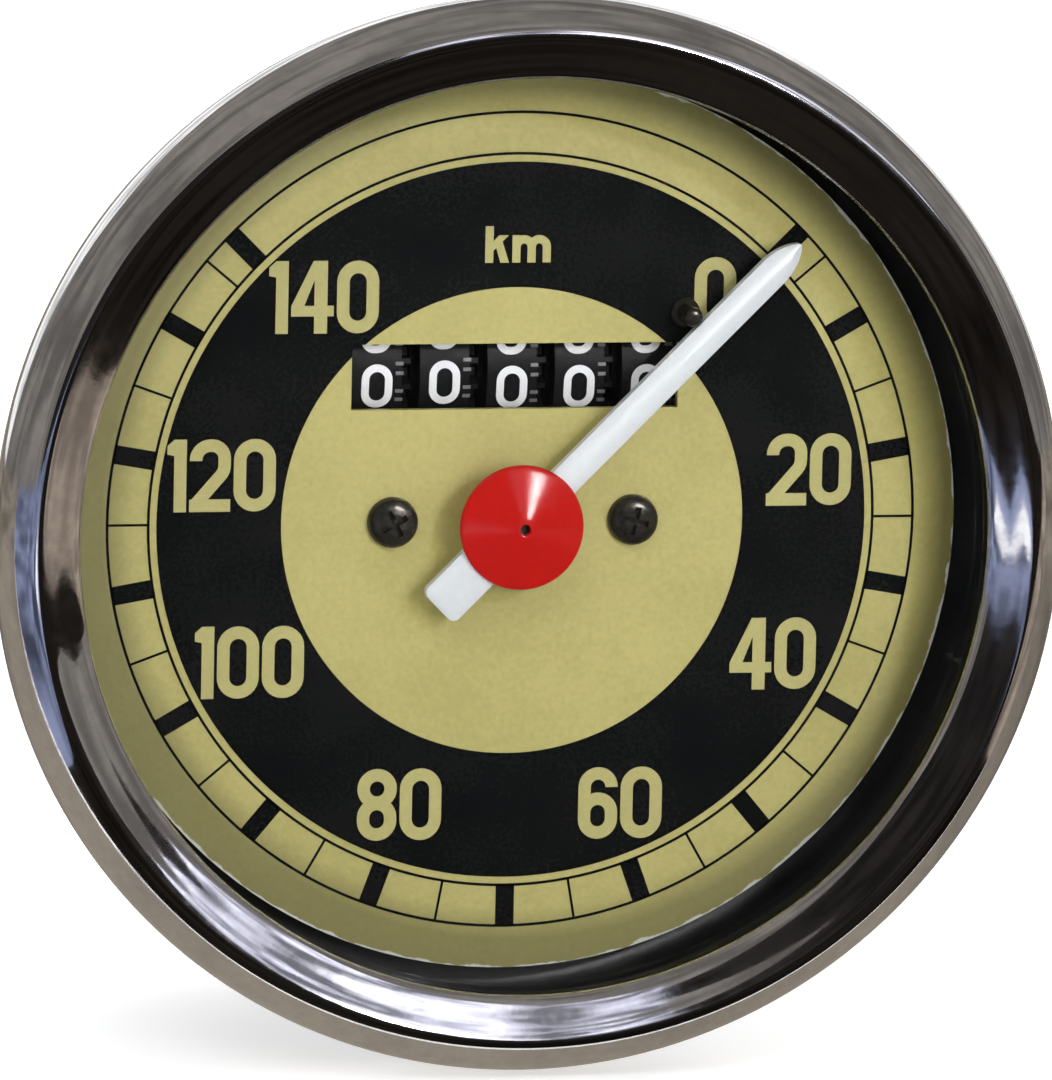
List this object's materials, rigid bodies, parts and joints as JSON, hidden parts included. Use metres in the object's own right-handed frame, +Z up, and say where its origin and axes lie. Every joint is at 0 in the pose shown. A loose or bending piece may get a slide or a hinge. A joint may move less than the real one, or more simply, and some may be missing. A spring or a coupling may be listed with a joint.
{
  "type": "panel speedometer",
  "caption": "Round panel speedometer with chrome bezel, flat glass, gold dial, white needle, drum counter, magnetic drive and rear cable neck.",
  "frame": {"origin": "on the pointer axis, at the front end of the case barrel, just behind the bezel hem", "axes": "+Z up as the dial is read, +X to the reader's right, +Y from the dial into the panel"},
  "size_m": [0.086, 0.0751, 0.086],
  "materials": {
    "case_enamel": "satin black enamel on drawn steel",
    "bezel_chrome": "polished chrome plate",
    "lens_clear": "clear flat glass",
    "seal_rubber": "black rubber",
    "dial_gold": "satin gold lacquer with black print",
    "black_steel": "black oxide steel",
    "needle_white": "glossy white paint",
    "cap_red": "glossy red plastic",
    "drum_black": "matt black plastic with white digits",
    "die_cast_zinc": "bare die-cast metal",
    "bright_steel": "bright steel",
    "turned_brass": "turned brass",
    "cup_aluminium": "spun aluminium",
    "magnet_dark": "ground magnet steel",
    "lamp_plastic": "black moulded holder",
    "bulb_glass": "clear bulb glass"
  },
  "bodies": {
    "case": {"case_shell": "case_enamel", "bezel_ring": "bezel_chrome", "lens_glass": "lens_clear", "lens_seal": "seal_rubber", "lens_gasket": "seal_rubber", "dial_plate": "dial_gold", "dial_screws": "black_steel", "stop_pin": "black_steel", "movement_base": "die_cast_zinc", "neck_sleeve": "die_cast_zinc", "bridge_plate": "die_cast_zinc", "odometer_frame": "die_cast_zinc", "base_screws": "bright_steel", "frame_pillars": "bright_steel", "bridge_screws": "bright_steel", "odometer_frame_screws": "bright_steel", "odometer_shaft": "bright_steel", "pinion_shaft": "bright_steel", "mounting_studs": "bright_steel", "hairspring": "bright_steel", "spindle_bush": "turned_brass", "arbor_bush": "turned_brass", "hairspring_arm": "turned_brass", "lamp_terminal": "turned_brass", "lamp_holder": "lamp_plastic", "lamp_bulb": "bulb_glass"},
    "pointer_group": {"pointer": "needle_white", "pointer_cap": "cap_red", "pointer_arbor": "bright_steel", "speed_cup": "cup_aluminium", "hairspring_collet": "turned_brass"},
    "spindle_group": {"drive_spindle": "bright_steel", "spindle_worm": "turned_brass", "magnet": "magnet_dark", "flux_cup": "bright_steel"},
    "cross_group": {"cross_shaft": "bright_steel", "cross_wheel": "turned_brass", "cross_worm": "turned_brass"},
    "lift_group": {"lift_shaft": "bright_steel", "lift_wheel": "turned_brass", "lift_worm": "turned_brass"},
    "drum_1_group": {"digit_drum_1": "drum_black", "drum_wheel": "turned_brass"},
    "drum_2_group": {"digit_drum_2": "drum_black"},
    "drum_3_group": {"digit_drum_3": "drum_black"},
    "drum_4_group": {"digit_drum_4": "drum_black"},
    "drum_5_group": {"digit_drum_5": "drum_black"},
    "pinion_1_group": {"transfer_pinion_1": "turned_brass"},
    "pinion_2_group": {"transfer_pinion_2": "turned_brass"},
    "pinion_3_group": {"transfer_pinion_3": "turned_brass"},
    "pinion_4_group": {"transfer_pinion_4": "turned_brass"}
  },
  "joints": [
    {"name": "pointer_sweep", "type": "hinge", "parent": "case", "child": "pointer_group", "pos_m": [0, 0, 0], "axis": [0, 1, 0], "range_deg": [0, 270], "stiffness_Nm_per_rad": 0.0002, "springref_deg": -20.05, "deforming": ["hairspring"]},
    {"name": "spindle_spin", "type": "hinge", "parent": "case", "child": "spindle_group", "pos_m": [0, 0.04, 0], "axis": [0, 1, 0], "continuous": true},
    {"name": "cross_shaft_spin", "type": "hinge", "parent": "case", "child": "cross_group", "pos_m": [0, 0.0403, 0.0098], "axis": [1, 0, 0], "continuous": true},
    {"name": "lift_shaft_spin", "type": "hinge", "parent": "case", "child": "lift_group", "pos_m": [0.0166, 0.025, 0.0024], "axis": [0, 1, 0], "continuous": true},
    {"name": "drum_1_spin", "type": "hinge", "parent": "case", "child": "drum_1_group", "pos_m": [0, 0.0113, 0.0116], "axis": [1, 0, 0], "continuous": true},
    {"name": "drum_2_spin", "type": "hinge", "parent": "case", "child": "drum_2_group", "pos_m": [0, 0.0113, 0.0116], "axis": [1, 0, 0], "continuous": true},
    {"name": "drum_3_spin", "type": "hinge", "parent": "case", "child": "drum_3_group", "pos_m": [0, 0.0113, 0.0116], "axis": [1, 0, 0], "continuous": true},
    {"name": "drum_4_spin", "type": "hinge", "parent": "case", "child": "drum_4_group", "pos_m": [0, 0.0113, 0.0116], "axis": [1, 0, 0], "continuous": true},
    {"name": "drum_5_spin", "type": "hinge", "parent": "case", "child": "drum_5_group", "pos_m": [0, 0.0113, 0.0116], "axis": [1, 0, 0], "continuous": true},
    {"name": "pinion_1_spin", "type": "hinge", "parent": "case", "child": "pinion_1_group", "pos_m": [0, 0.01724, 0.01754], "axis": [1, 0, 0], "continuous": true},
    {"name": "pinion_2_spin", "type": "hinge", "parent": "case", "child": "pinion_2_group", "pos_m": [0, 0.01724, 0.01754], "axis": [1, 0, 0], "continuous": true},
    {"name": "pinion_3_spin", "type": "hinge", "parent": "case", "child": "pinion_3_group", "pos_m": [0, 0.01724, 0.01754], "axis": [1, 0, 0], "continuous": true},
    {"name": "pinion_4_spin", "type": "hinge", "parent": "case", "child": "pinion_4_group", "pos_m": [0, 0.01724, 0.01754], "axis": [1, 0, 0], "continuous": true}
  ],
  "couplings": [
    {"joint": "cross_shaft_spin", "follows": "spindle_spin", "ratio": -0.05},
    {"joint": "lift_shaft_spin", "follows": "spindle_spin", "ratio": 0.0025},
    {"joint": "drum_1_spin", "follows": "spindle_spin", "ratio": -0.0001},
    {"joint": "drum_2_spin", "follows": "spindle_spin", "ratio": -0.00001},
    {"joint": "drum_3_spin", "follows": "spindle_spin", "ratio": -0.000001},
    {"joint": "drum_4_spin", "follows": "spindle_spin", "ratio": -0.0000001},
    {"joint": "drum_5_spin", "follows": "spindle_spin", "ratio": -0.00000001},
    {"joint": "pinion_1_spin", "follows": "spindle_spin", "ratio": 0.000025},
    {"joint": "pinion_2_spin", "follows": "spindle_spin", "ratio": 0.0000025},
    {"joint": "pinion_3_spin", "follows": "spindle_spin", "ratio": 0.00000025},
    {"joint": "pinion_4_spin", "follows": "spindle_spin", "ratio": 0.000000025}
  ]
}
